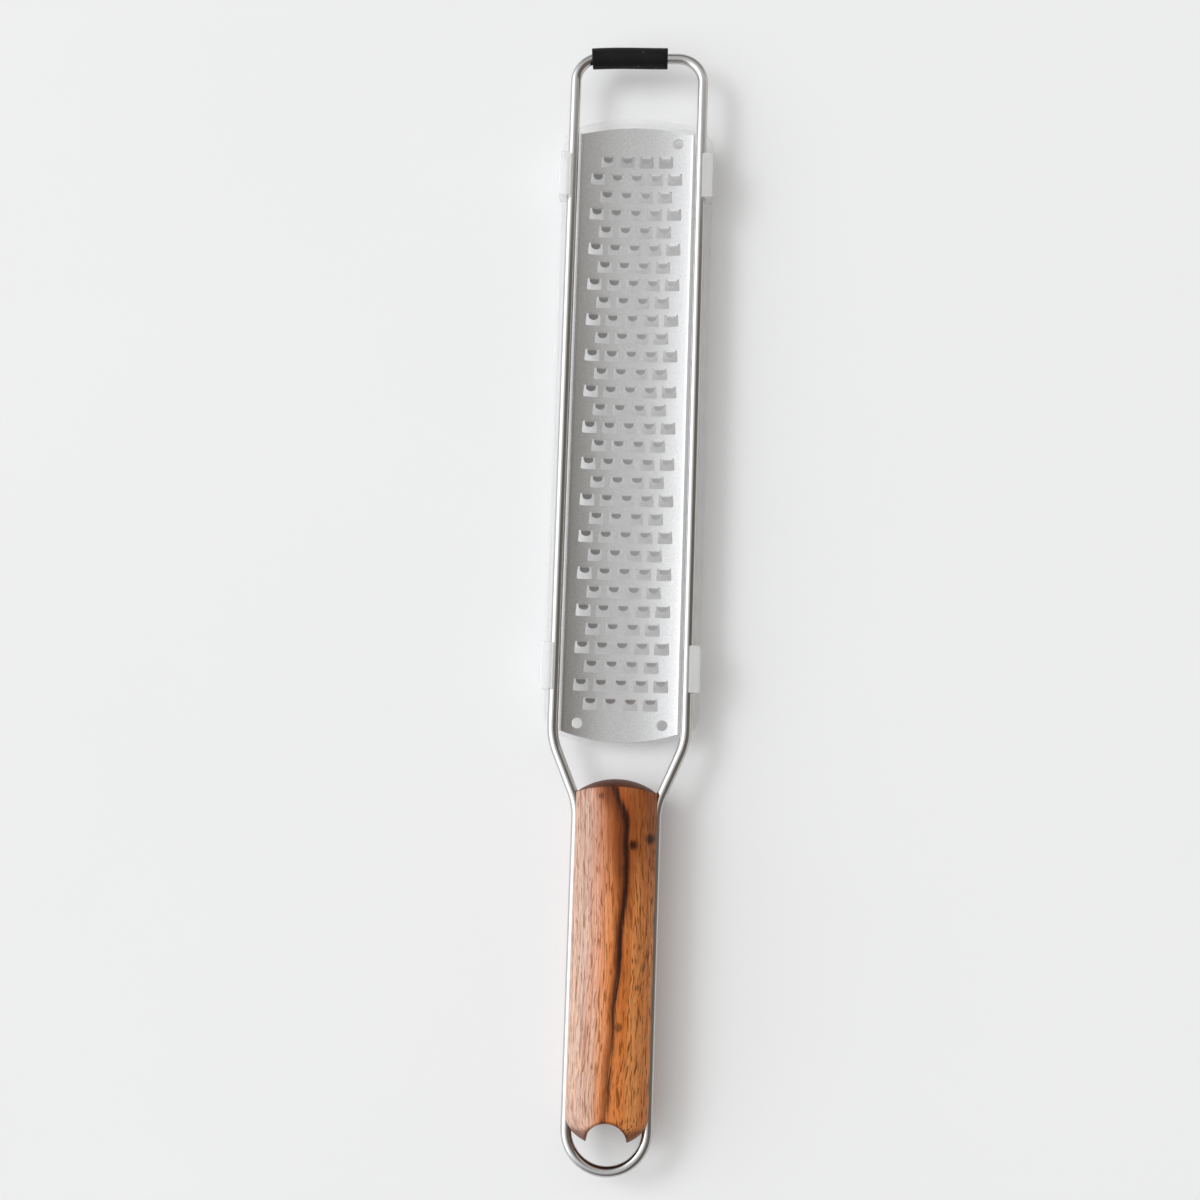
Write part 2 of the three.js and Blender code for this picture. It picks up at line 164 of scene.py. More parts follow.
class CoverSettings(bpy.types.PropertyGroup):
    """Sizes and colour of the clear cover."""

    floor: length("Floor", "Thickness of the floor", 0.001)
    rim: length("Rim", "Thickness of the rim", 0.0012)
    rim_height: length("Rim height", "Height of the rim above the table", 0.004156)
    end_radius: length("End radius", "Radius of the two bowed ends", 0.063)
    corner_radius: length("Corner radius", "Radius of the four corners", 0.008)
    clip_length: length("Clip length", "Length of a clip along the wire", 0.014)
    clip_wall: length("Clip wall", "Thickness of a clip's wall", 0.0021)
    clip_front: place("Front clips", "Middle of the two clips near the nose", 0.12885)
    clip_back: place("Back clips", "Middle of the two clips near the handle", -0.02359)
    clip_lip: length("Clip lip", "Thickness of the lip over the wire", 0.001)
    clip_reach: length("Clip reach", "How far the lip reaches over the wire", 0.0012)
    clip_ledge: length("Clip ledge", "Thickness of the ledge under the wire", 0.0014)
    clip_edge: length("Clip edge", "Rounding of a clip's edges", 0.00025)
    clearance: length("Clearance", "Gap between a clip and its wire", 0.0003)
    plastic: colour("Plastic", "Colour of the clear plastic", (0.86, 0.86, 0.85))


class StageSettings(bpy.types.PropertyGroup):
    """The studio: camera, lamp and table."""

    camera_place: point("Camera place", "Where the camera stands", (0.0146, -0.0654, 0.5045))
    camera_turn: FloatVectorProperty(name="Camera turn", description="How the camera is turned", subtype="EULER",
                                     default=(math.radians(7.2), math.radians(2.252), math.radians(1.894)))
    lamp_place: point("Lamp place", "Where the wide lamp on the left stands", (-4.65, 1.5, 4.2))
    lamp_width: length("Lamp width", "Side of the lamp along the grater", 3.20)
    lamp_height: length("Lamp height", "Side of the lamp upwards", 1.90)
    lamp_power: FloatProperty(name="Lamp power", description="Power of the lamp", default=138.0, unit="POWER")
    lamp_colour: colour("Lamp colour", "Colour of the lamp's light", (0.96, 0.98, 1.0))
    table: colour("Table", "Colour of the table", (0.84, 0.84, 0.84))
    backdrop: colour("Backdrop", "Colour of the room round the horizon", (0.84, 0.84, 0.84))
    # painted light: the share of the table's tone that glows by itself and lifts its shadows
    table_glow_share: FloatProperty(name="Own tone", default=0.18, min=0.0, max=1.0,
                            description="Part of the table's tone that is its own, seen straight or in a gloss")


def unit(vectors):
    """Vectors brought to length one."""
    return vectors / np.linalg.norm(vectors, axis=-1, keepdims=True)


def grid_faces(rows, columns, close_rows=False, close_columns=False):
    """Four-sided faces of a grid of points numbered row by row; a closed side joins its last line to its first."""
    row = np.arange(rows if close_rows else rows - 1)[:, None]
    column = np.arange(columns if close_columns else columns - 1)[None, :]
    next_row = (row + 1) % rows
    next_column = (column + 1) % columns
    corners = [row * columns + column, row * columns + next_column,
               next_row * columns + next_column, next_row * columns + column]
    return np.stack(np.broadcast_arrays(*corners), -1).reshape(-1, 4)


class Surface:
    """Grids gathered into one mesh: each one adds its points and its faces, counted on from those before."""

    def __init__(self):
        self.points = []
        self.faces = []
        self.count = 0

    def add(self, points, *face_groups):
        points = np.asarray(points, float).reshape(-1, 3)
        self.points.append(points)
        for faces in face_groups:
            self.faces.extend((np.asarray(faces) + self.count).tolist())
        self.count += len(points)

    def add_sheet(self, across, along, up, faces, side):
        """Add points from their three coordinates; on the left side the faces are listed the other way round."""
        self.add(np.stack(np.broadcast_arrays(across, along, up), -1), faces if side > 0 else faces[:, ::-1])

    def add_tube(self, rings):
        """Add rings of points that close round the tube and along it."""
        self.add(rings, grid_faces(*rings.shape[:2], close_rows=True, close_columns=True))

    def build(self, name, weld=1e-6):
        """An object at the origin; points that coincide are welded, and the faces of a closed mesh point outwards."""
        mesh = bpy.data.meshes.new(name)
        mesh.from_pydata(np.concatenate(self.points).tolist(), [], self.faces)
        work = bmesh.new()
        work.from_mesh(mesh)
        bmesh.ops.remove_doubles(work, verts=work.verts, dist=weld)
        if all(edge.is_manifold for edge in work.edges) and work.calc_volume(signed=True) < 0:
            bmesh.ops.reverse_faces(work, faces=work.faces)
        work.to_mesh(mesh)
        work.free()
        made = bpy.data.objects.new(name, mesh)
        bpy.context.scene.collection.objects.link(made)
        return made


def settle(piece):
    """Work the modifiers of a piece into its mesh."""
    graph = bpy.context.evaluated_depsgraph_get()
    mesh = bpy.data.meshes.new_from_object(piece.evaluated_get(graph))
    piece.modifiers.clear()
    piece.data = mesh


def ease_edges(piece, width, segments, angle):
    """Round the edges of a piece where its faces meet at more than an angle in degrees."""
    eased = piece.modifiers.new("eased edges", "BEVEL")
    eased.width = width
    eased.segments = segments
    eased.limit_method = "ANGLE"
    eased.angle_limit = math.radians(angle)
    settle(piece)


def finish_piece(piece, material, body, node, sharp):
    """Shade a piece smooth between its sharp edges, give it its finish and tie it to the frame."""
    mesh = piece.data
    mesh.polygons.foreach_set("use_smooth", np.ones(len(mesh.polygons), bool))
    mesh.set_sharp_from_angle(angle=math.radians(sharp))
    mesh.materials.clear()
    mesh.materials.append(material)
    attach(piece, body)
    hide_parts(node)


def rounded_loop(corners, radii, steps):
    """Points and directions along a closed plan of straight runs joined by arcs.

    Each corner is cut back by its radius times the tangent of half its turn. The arc starts there, and turns the
    incoming direction evenly about a centre that lies one radius to the inside of the turn.
    """
    before = unit(corners - np.roll(corners, 1, axis=0))
    after = np.roll(before, -1, axis=0)
    turn = np.arctan2(before[:, 0] * after[:, 1] - before[:, 1] * after[:, 0], (before * after).sum(1))
    start = corners - (radii * np.tan(np.abs(turn) / 2))[:, None] * before
    inward = np.stack([-before[:, 1], before[:, 0]], 1) * np.sign(turn)[:, None]
    centre = start + radii[:, None] * inward
    angle = turn[:, None] * np.linspace(0, 1, steps + 1)[None, :]
    cosine, sine = np.cos(angle)[..., None], np.sin(angle)[..., None]

    def turned(vectors):
        across = np.stack([-vectors[:, 1], vectors[:, 0]], 1)
        return vectors[:, None] * cosine + across[:, None] * sine

    points = centre[:, None] + turned(start - centre)
    return points.reshape(-1, 2), turned(before).reshape(-1, 2)


def ringed(points, directions, radius, height, sides):
    """Rings carried along a plan path: the radius times cosine goes to the side and times sine goes up."""
    angle = np.linspace(0, 2 * np.pi, sides, endpoint=False)
    side = np.stack([directions[:, 1], -directions[:, 0]], 1)
    radius = np.broadcast_to(radius, len(points))[:, None]
    reach, rise = radius * np.cos(angle), radius * np.sin(angle)
    plan = points[:, None] + reach[..., None] * side[:, None]
    return np.concatenate([plan, (height + rise)[..., None]], -1)


class Signal:
    """The value that leaves a node, so that sums of values can be written as plain expressions."""

    def __init__(self, finish, socket):
        self.finish = finish
        self.socket = socket

    def sum_of(self, operation, first, second=0.0):
        return self.finish.node("ShaderNodeMath", {"operation": operation}, {0: first, 1: second})

    def __add__(self, other):
        return self.sum_of("ADD", self, other)

    __radd__ = __add__

    def __sub__(self, other):
        return self.sum_of("SUBTRACT", self, other)

    def __rsub__(self, other):
        return self.sum_of("SUBTRACT", other, self)

    def __mul__(self, other):
        return self.sum_of("MULTIPLY", self, other)

    __rmul__ = __mul__

    def __truediv__(self, other):
        return self.sum_of("DIVIDE", self, other)

    def __rtruediv__(self, other):
        return self.sum_of("DIVIDE", other, self)

    def __pow__(self, other):
        return self.sum_of("POWER", self, other)

    def __abs__(self):
        return self.sum_of("ABSOLUTE", self)

    def most(self, other):
        return self.sum_of("MAXIMUM", self, other)

    def output(self, key):
        """Another output of the same node."""
        return Signal(self.finish, self.socket.node.outputs[key])


class Finish:
    """A tree of shader nodes for one material, or for the world."""

    def __init__(self, owner):
        owner.use_nodes = True
        self.owner = owner
        self.tree = owner.node_tree
        self.tree.nodes.clear()

    def node(self, kind, settings=None, inputs=None, output=0):
        """Add a node from its type, its settings and the values or links of its sockets; gives back one output."""
        made = self.tree.nodes.new(kind)
        for key, value in (settings or {}).items():
            if key == "stops":
                self.set_stops(made.color_ramp, value)
            elif key == "blend":
                made.color_ramp.interpolation = value
            else:
                setattr(made, key, value)
        for key, value in (inputs or {}).items():
            if isinstance(value, Signal):
                self.tree.links.new(value.socket, made.inputs[key])
            else:
                made.inputs[key].default_value = value
        return Signal(self, made.outputs[output]) if len(made.outputs) else None

    @staticmethod
    def set_stops(ramp, stops):
        """Put the stops of a ramp in place: pairs of a position and a grey level or a colour."""
        while len(ramp.elements) < len(stops):
            ramp.elements.new(1.0)
        for element, (position, value) in zip(ramp.elements, stops):
            element.position = position
            level = (value,) * 3 if isinstance(value, (int, float)) else tuple(value)
            element.color = (*level, 1.0)

    def coordinates(self, scale=(1.0, 1.0, 1.0), shift=(0.0, 0.0, 0.0), start=None):
        """Object coordinates, or a vector that stands for them, stretched and then shifted."""
        here = start or self.node("ShaderNodeTexCoord", output="Object")
        return self.node("ShaderNodeMapping", {}, {"Vector": here, "Scale": scale, "Location": shift})

    def axes(self, vector=None):
        """The three parts of a vector, or of the Object coordinates, each on its own."""
        here = vector or self.node("ShaderNodeTexCoord", output="Object")
        split = self.node("ShaderNodeSeparateXYZ", {}, {0: here})
        return split, split.output(1), split.output(2)

    def noise(self, scale, detail=3.0, rough=0.5, shift=(0.0, 0.0, 0.0), start=None):
        """Soft noise from 0 to 1, with so many waves to the metre along each axis."""
        return self.node("ShaderNodeTexNoise", {}, {
            "Vector": self.coordinates(scale, shift, start), "Scale": 1.0, "Detail": detail, "Roughness": rough})

    def ramp(self, value, stops, blend="LINEAR"):
        """A value read off a row of stops."""
        return self.node("ShaderNodeValToRGB", {"stops": stops, "blend": blend}, {"Fac": value})

    def between(self, value, low, high):
        """0 below the low mark, 1 above the high mark and a smooth step between them."""
        return self.node("ShaderNodeMapRange", {"interpolation_type": "SMOOTHSTEP"}, {
            "Value": value, "From Min": low, "From Max": high, "To Min": 0.0, "To Max": 1.0})

    def mix(self, share, first, second):
        """Two colours mixed by a share."""
        return self.node("ShaderNodeMix", {"data_type": "RGBA"}, {0: share, 6: opaque(first), 7: opaque(second)},
                         output=2)

    def layers(self, tone, *coats):
        """Colours laid over a tone one after the other, each by its own share."""
        for share, coat in coats:
            tone = self.mix(share, tone, coat)
        return tone

    def bump(self, height, strength, depth):
        """A normal tilted by a height, with the depth of a full step in metres."""
        return self.node("ShaderNodeBump", {}, {"Height": height, "Strength": strength, "Distance": depth})

    def surface(self, **inputs):
        """Close the tree with a Principled shader; an underscore in a name stands for a space."""
        shader = self.node("ShaderNodeBsdfPrincipled", {}, {
            key.replace("_", " "): value for key, value in inputs.items()})
        self.node("ShaderNodeOutputMaterial", {}, {"Surface": shader})
        return self.owner


def opaque(value):
    """A colour with its fourth part, or a signal as it is."""
    return value if isinstance(value, Signal) else (*value, 1.0)


def shade(tone, factor):
    """A colour made darker or lighter by a factor."""
    return [min(1.0, factor * part) for part in tone]


def blended(first, second, first_share, second_share):
    """Shares of two colours added up."""
    return [first_share * one + second_share * other for one, other in zip(first, second)]


def polished_steel(wire):
    """Bright drawn wire: faint lines along it, soft smudges in its gloss and a slight wave of its surface."""
    finish = Finish(bpy.data.materials.new("polished_steel"))
    smudge = finish.noise((90, 40, 90), detail=4)
    streak = finish.noise((1500, 300, 1500), detail=2, shift=(3, 1, 7))
    tone = finish.mix(streak, shade(wire.steel, 0.90), shade(wire.steel, 1.06))
    return finish.surface(
        Base_Color=tone, Metallic=1.0, Roughness=0.06 + 0.08 * smudge + 0.05 * streak,
        Normal=finish.bump(smudge, 0.15, 0.0004))


def satin_steel(blade):
    """Satin sheet: fine bright and dark grain, faint rolling lines along it and a slight unevenness of its gloss.

    The underside is painted brighter, as painted light that stands in for light bouncing under the blade, and the
    tongues, which lean towards the handle, carry a painted reflection, the brighter the further right they stand.
    """
    finish = Finish(bpy.data.materials.new("satin_steel"))
    grain = finish.noise((3600, 2600, 3600), detail=2, rough=0.7)
    rolled = finish.noise((1400, 40, 1400), detail=3, shift=(5, 2, 0))
    cloud = finish.noise((60, 35, 60), detail=3, shift=(1, 8, 2))
    across, _, _ = finish.axes()
    _, facing_along, facing_up = finish.axes(finish.node("ShaderNodeNewGeometry", output="Normal"))
    # painted light: faces that look down are made brighter, as if lit from below the blade
    underside = 1.0 - finish.between(facing_up, -0.6, -0.2)
    # painted reflection: tongues leaning towards the handle are made brighter, the more the further right they stand
    tongue = finish.between(-1.0 * facing_along, 0.25, 0.45) * finish.between(facing_up, 0.2, 0.5)
    tone = finish.layers(
        finish.mix(finish.between(grain, 0.30, 0.72), shade(blade.steel, 0.84), shade(blade.steel, 1.14)),
        (0.25 * rolled, shade(blade.steel, 0.80)),
        # painted light on the underside
        (underside, shade(blade.steel, 1.38)),
        # painted reflection on the tongues
        (tongue * finish.between(across, -0.013, 0.010), shade(blade.steel, 1.45)))
    return finish.surface(
        Base_Color=tone, Metallic=1.0, Roughness=0.26 + 0.09 * cloud + 0.07 * grain,
        Normal=finish.bump(grain + 0.4 * rolled, 0.20, 0.00008))


def black_rubber(sleeve):
    """Matt black rubber with a fine moulded grain, duller patches and a few pale specks of dust."""
    finish = Finish(bpy.data.materials.new("black_rubber"))
    grain = finish.noise((2600, 2600, 2600), detail=3, rough=0.6)
    patch = finish.noise((220, 320, 320), detail=3, shift=(4, 0, 1))
    dust = finish.node("ShaderNodeTexVoronoi", {"feature": "F1"}, {
        "Vector": finish.coordinates((430, 430, 430), (2, 5, 3)), "Scale": 1.0, "Randomness": 1.0}, output="Distance")
    speck = (1.0 - finish.between(dust, 0.05, 0.12)) * finish.between(patch, 0.45, 0.6)
    tone = finish.layers(
        finish.mix(finish.between(patch, 0.35, 0.75), sleeve.rubber, shade(sleeve.rubber, 1.9)),
        (0.5 * speck, (0.30, 0.30, 0.31)))
    return finish.surface(
        Base_Color=tone, Roughness=0.50 + 0.20 * patch, Specular_IOR_Level=0.22,
        Normal=finish.bump(grain, 0.35, 0.00012))


# Knots of the handle: across, along, size and depth of their colour.
KNOTS = ((0.0053, -0.0756, 0.0016, 0.92), (0.0104, -0.0738, 0.0018, 0.92), (0.0078, -0.1160, 0.0012, 0.50),
         (0.0029, -0.1272, 0.0013, 0.60), (-0.0044, -0.0617, 0.0009, 0.60))


def oiled_wood(handle, front, back):
    """Oiled hardwood.

    Light and orange-brown bands lie along the grain, drawn out about twenty times, and turn paler to the left, partly
    as paler sapwood and partly as a painted sheen. Fine lines, fibres, light dashes, short dark flecks and finer pores
    break them up. The wood is lighter at the lower right and redder towards the neck, less so on the left. One dark
    streak follows a wandering line. Its core is broken and grows wider towards the neck, and a haze lies on its left
    side. Knots sit beside it. The cut ends are dark, and a thin band of painted shade darkens the notch's rim.
    """
    finish = Finish(bpy.data.materials.new("oiled_wood"))
    across, along, up = finish.axes()
    facing = finish.axes(finish.node("ShaderNodeNewGeometry", output="Normal"))[1]
    share = (along - back) / (front - back)

    drift = finish.noise((18, 24, 18), detail=2, shift=(0, 3, 5))
    sway = finish.noise((60, 130, 60), detail=2, shift=(5, 1, 2))
    grain = finish.node("ShaderNodeCombineXYZ", {}, {
        0: across + (drift - 0.5) * 0.006 + (sway - 0.5) * 0.0006, 1: along, 2: up})
    figure = finish.noise((230, 9, 230), detail=4, rough=0.6, start=grain)
    line = finish.noise((1000, 26, 1000), detail=4, rough=0.65, shift=(0, 6, 1), start=grain)
    dash = finish.noise((900, 85, 900), detail=3, rough=0.6, shift=(3, 4, 8), start=grain)
    fibre = finish.noise((2400, 45, 2400), detail=3, rough=0.6, shift=(1, 2, 6), start=grain)
    fleck = finish.noise((2100, 190, 2100), detail=2, rough=0.5, shift=(7, 1, 3), start=grain)
    pore = finish.noise((2000, 330, 2000), detail=2, rough=0.5, shift=(2, 9, 4), start=grain)
    ripple = finish.noise((160, 75, 160), detail=4, rough=0.6, shift=(0, 3, 5))
    flecks = finish.between(fleck, 0.54, 0.64)
    pores = finish.between(pore, 0.56, 0.70)

    brown = shade(handle.warm, 0.24)
    deep = shade(handle.red, 0.32)
    cream = blended(handle.pale, handle.sapwood_and_sheen, 0.58, 0.58)
    ember = blended(handle.red, handle.warm, 0.62, 0.38)
    left = 1.0 - finish.between(across + 0.008 * (figure - 0.5), -0.0075, 0.0010)
    low = 1.0 - finish.between(share, 0.18, 0.42)
    neck = finish.between(share + 0.25 * (drift - 0.5), 0.55, 0.90)
    tone = finish.layers(
        finish.mix(finish.between(figure, 0.40, 0.60), handle.pale, handle.warm),
        # partly sapwood, partly painted sheen: the left side turns to the paler colour
        (0.86 * left, handle.sapwood_and_sheen),
        (0.50 * finish.between(line, 0.46, 0.70), brown),
        (0.34 * finish.between(fibre, 0.46, 0.66), brown),
        (0.32 * low * (1.0 - left), handle.pale),
        ((0.12 + 0.33 * left) * finish.between(dash, 0.54, 0.70), cream),
        # less red on the left towards the neck, which keeps the painted sheen there
        ((0.66 - 0.54 * left) * neck, handle.red),
        ((0.85 - 0.25 * left) * flecks, brown),
        (0.26 * pores, handle.dark))

    wander = finish.ramp(share, [
        (0.08, 0.479), (0.17, 0.508), (0.29, 0.541), (0.37, 0.553), (0.45, 0.587), (0.60, 0.608), (0.66, 0.636),
        (0.75, 0.647), (0.82, 0.638), (0.90, 0.615), (0.97, 0.485)], "CARDINAL")
    strength = finish.ramp(share, [
        (0.0, 0.50), (0.10, 0.50), (0.15, 0.75), (0.22, 0.40), (0.27, 0.50), (0.33, 0.85), (0.42, 0.95), (0.72, 1.0)])
    halo = finish.ramp(share, [(0.0, 0.70), (0.20, 0.85), (0.42, 0.95), (0.72, 1.0)])
    aside = across - (wander - 0.5) * 0.024 - (ripple - 0.5) * 0.0020 - (line - 0.5) * 0.0024
    core = 1.0 - finish.between(abs(aside), 0.0001, 0.0004 + 0.0011 * share)
    core = core * (0.65 + 0.35 * finish.between(dash, 0.38, 0.52))
    fan = finish.between(share, 0.87, 0.97)
    wide = finish.between(aside, -0.0055 - 0.0025 * neck, -0.0008) * (1.0 - finish.between(aside, 0.0010, 0.0040))
    near = finish.between(aside, -0.0026 - 0.0030 * neck - 0.0020 * fan, -0.0004)
    near = near * (1.0 - finish.between(aside, 0.0003, 0.0016))
    tone = finish.layers(
        tone,
        ((0.55 + 0.35 * neck) * wide * halo, ember),
        (0.55 * neck * wide, handle.red),
        ((0.58 + 0.36 * finish.between(line, 0.42, 0.58)) * near * halo, deep),
        (0.95 * core * strength, handle.dark))

    for knot_x, knot_y, size, depth in KNOTS:
        away = ((across - knot_x) ** 2.0 + 0.6 * (along - knot_y) ** 2.0) ** 0.5 + (line - 0.5) * 0.0032
        tone = finish.mix(depth - depth * finish.between(away, 0.3 * size, size), tone, handle.dark)
    # painted shade: distance from the notch's edge, for a dark band along its rim
    rim = (across ** 2.0 + (along - handle.notch_middle) ** 2.0) ** 0.5 - handle.notch_radius
    tone = finish.layers(
        tone,
        (0.92 * finish.between(facing, 0.25, 0.50), deep),
        (0.70 * finish.between(-1.0 * facing, 0.30, 0.60), deep),
        # painted shade along the notch's rim
        (0.65 - 0.65 * finish.between(rim, 0.0003, 0.0010), deep))
    return finish.surface(
        Base_Color=tone, Roughness=0.40 + 0.12 * figure + 0.14 * flecks, Specular_IOR_Level=0.15,
        Coat_Weight=0.10 - 0.06 * flecks, Coat_Roughness=0.30,
        Normal=finish.bump(0.35 * line - flecks - 0.6 * pores, 0.30, 0.00010))


def clear_plastic(cover):
    """Clear moulded plastic: thin and almost unseen over the floor, milkier in the rim and the clips."""
    finish = Finish(bpy.data.materials.new("clear_plastic"))
    up = finish.axes()[2]
    cloud = finish.noise((45, 30, 60), detail=3)
    scuff = finish.noise((700, 60, 700), detail=3, shift=(2, 2, 9))
    passage = 0.0008
    wall = finish.between(up, cover.floor, cover.floor + passage)
    clip = finish.between(up, cover.rim_height, cover.rim_height + passage)
    return finish.surface(
        Base_Color=finish.mix(cloud, shade(cover.plastic, 0.97), shade(cover.plastic, 1.04)),
        Roughness=0.10 + 0.12 * scuff, Alpha=0.03 + 0.02 * cloud + 0.08 * wall + 0.27 * clip, IOR=1.49,
        Normal=finish.bump(cloud, 0.10, 0.0006))


def pale_table(stage):
    """A plain pale table.

    Seen straight, in a gloss or through the cover, a part of its tone is painted light: a glow of its own that keeps
    its shadows light. Far from the grater all of it glows, so that the table goes over into the room.
    """
    finish = Finish(bpy.data.materials.new("pale_table"))
    across, along, _ = finish.axes()
    cloud = finish.noise((9, 9, 9), detail=3)
    tone = finish.mix(cloud, shade(stage.table, 0.985), shade(stage.table, 1.015))
    lit = finish.node("ShaderNodeBsdfPrincipled", {}, {
        "Base Color": tone, "Roughness": 0.5, "Specular IOR Level": 0.2})
    # painted light: the table's own glow, which lifts its shadows
    own = finish.node("ShaderNodeEmission", {}, {"Color": tone, "Strength": 1.0})
    seen = finish.node("ShaderNodeLightPath", output="Is Camera Ray")
    for ray in ("Is Glossy Ray", "Is Transmission Ray"):
        seen = seen.most(finish.node("ShaderNodeLightPath", output=ray))
    far = finish.between((across ** 2.0 + along ** 2.0) ** 0.5, 0.5, 2.4)
    # share of painted glow: part near the grater, all of it far away
    share = stage.table_glow_share + (1.0 - stage.table_glow_share) * far
    both = finish.node("ShaderNodeMixShader", {}, {0: share * seen, 1: lit, 2: own})
    finish.node("ShaderNodeOutputMaterial", {}, {"Surface": both})
    finish.owner.cycles.emission_sampling = "NONE"
    return finish.owner


def wire_plan(wire):
    """Middle line of the wire, as points and directions: crossbar, sides, neck, legs and hanging loop."""
    radius = wire.diameter / 2
    side = wire_high.x - radius
    nose = wire_high.y - radius
    leg = wire.leg_spacing / 2
    foot = wire_low.y + radius
    right = np.array([[side, nose], [side, wire.neck_front], [leg, wire.neck_back], [leg, foot]])
    corners = np.concatenate([right, right[::-1] * [-1, 1]])
    bends = np.array([wire.nose_bend, wire.neck_bend, wire.neck_bend, leg])
    return rounded_loop(corners, np.concatenate([bends, bends[::-1]]), wire.bend_steps)


class GRATER_OT_wire(bpy.types.Operator):
    """Bend the wire frame"""

    bl_idname = "grater.wire"
    bl_label = "Bent wire"

    def execute(self, context):
        wire = context.scene.grater_wire
        points, directions = wire_plan(wire)
        surface = Surface()
        surface.add_tube(ringed(points, directions, wire.diameter / 2, wire_height, wire.sides))
        finish_piece(surface.build("bent_wire"), polished_steel(wire), "grater", "wire_frame", sharp=50)
        return {"FINISHED"}


def sheet_profile(blade):
    """Right half of the sheet's upper face beyond the teeth, as across and up.

    The trough rises with a power of the distance from the middle. An arc turns it up into the lip, which ends at
    the height of the wires' middle.
    """
    inner = blade_high.x - blade.sheet
    arc_middle = inner - blade.lip_bend
    slope = math.atan(blade.trough_depth * blade.trough_power / inner)
    turn = np.linspace(slope, math.pi / 2, 6)
    arc_across = arc_middle + blade.lip_bend * np.sin(turn)
    lift = trough(blade, arc_across[0]) + blade.lip_bend * math.cos(slope)
    arc_up = lift - blade.lip_bend * np.cos(turn)
    start = 2.5 * blade.column_pitch
    flat = start + np.array([0.0, 0.4, 0.75]) * (arc_across[0] - start)
    across = np.concatenate([flat, arc_across, [inner]])
    up = np.concatenate([trough(blade, flat), arc_up, [blade_high.z]])
    return across, up


def trough(blade, across):
    """Height of the sheet's upper face: its lowest height plus the depth times a power of the share across."""
    inner = blade_high.x - blade.sheet
    lowest = blade_high.z - blade.lip_height - blade.trough_depth
    return lowest + blade.trough_depth * (np.abs(across) / inner) ** blade.trough_power


def tooth_cell(blade):
    """One tooth and the sheet round it, as across, towards the handle, and down.

    Sixteen points go round the cell and sixteen round its window, whose sides widen towards the handle. The tongue
    leaves the window's nose side: it bends down on a short arc, then runs straight. Its sides are parallel for the
    first part of its length and close in half an ellipse after that. The window's two corners at the handle side are
    rounded.
    """
    around = 16
    step = np.linspace(-1, 1, around // 4 + 1)[:-1]
    one = np.ones(around // 4)
    square = np.concatenate([np.stack(pair, 1) for pair in ((step, -one), (one, step), (-step, one), (-one, -step))])
    edge = square * [blade.column_pitch / 2, blade.row_pitch / 2]

    corner = 0.0005
    cut = 0.3 * corner
    half_window = blade.window_length / 2
    wide = blade.window_back / 2
    root = blade.tongue_width / 2
    mirror = np.array([-1.0, 1.0])
    down = np.array([-1.0, -0.5, 0.15, 1.0 - corner / half_window]) * half_window
    half_side = np.interp(down, [-half_window, half_window], [blade.window_front / 2, wide])
    side = np.stack([half_side, down], 1)
    turn = np.array([wide - cut, half_window - cut])
    window = np.concatenate([
        [[-half_side[0], -half_window], [-root, -half_window], [0, -half_window], [root, -half_window]], side,
        [turn, [wide - corner, half_window], [0, half_window], [corner - wide, half_window], turn * mirror],
        side[:0:-1] * mirror])

    bend_share, parallel_share = 0.2, 0.45
    tip = np.radians([0, 25, 45, 62, 76, 86])
    share = np.concatenate([[bend_share / 2, bend_share], parallel_share + (1 - parallel_share) * np.sin(tip)])
    run = share * blade.tongue_length
    bend_run = bend_share * blade.tongue_length
    bend_radius = bend_run / blade.tongue_angle
    bent = np.minimum(run, bend_run) / bend_radius
    straight = np.maximum(run - bend_run, 0)
    forward = bend_radius * np.sin(bent) + straight * math.cos(blade.tongue_angle)
    drop = bend_radius * (1 - np.cos(bent)) + straight * math.sin(blade.tongue_angle)
    half_tongue = root * np.concatenate([[1, 1], np.cos(tip)])
    tongue = np.stack(np.broadcast_arrays(
        half_tongue[:, None] * np.array([-1, 0, 1]), forward[:, None] - half_window, drop[:, None]), -1)

    flat = np.concatenate([edge, window])
    points = np.concatenate([np.column_stack([flat, np.zeros(len(flat))]), tongue.reshape(-1, 3)])
    here = np.arange(around)
    after = (here + 1) % around
    ring = np.stack([around + here, around + after, after, here], 1)
    rows = np.concatenate([[around + np.arange(1, 4)], 2 * around + np.arange(3 * len(tongue)).reshape(-1, 3)])
    bridge = np.stack([rows[1:, :-1], rows[1:, 1:], rows[:-1, 1:], rows[:-1, :-1]], -1).reshape(-1, 4)
    return points, np.concatenate([ring, bridge])


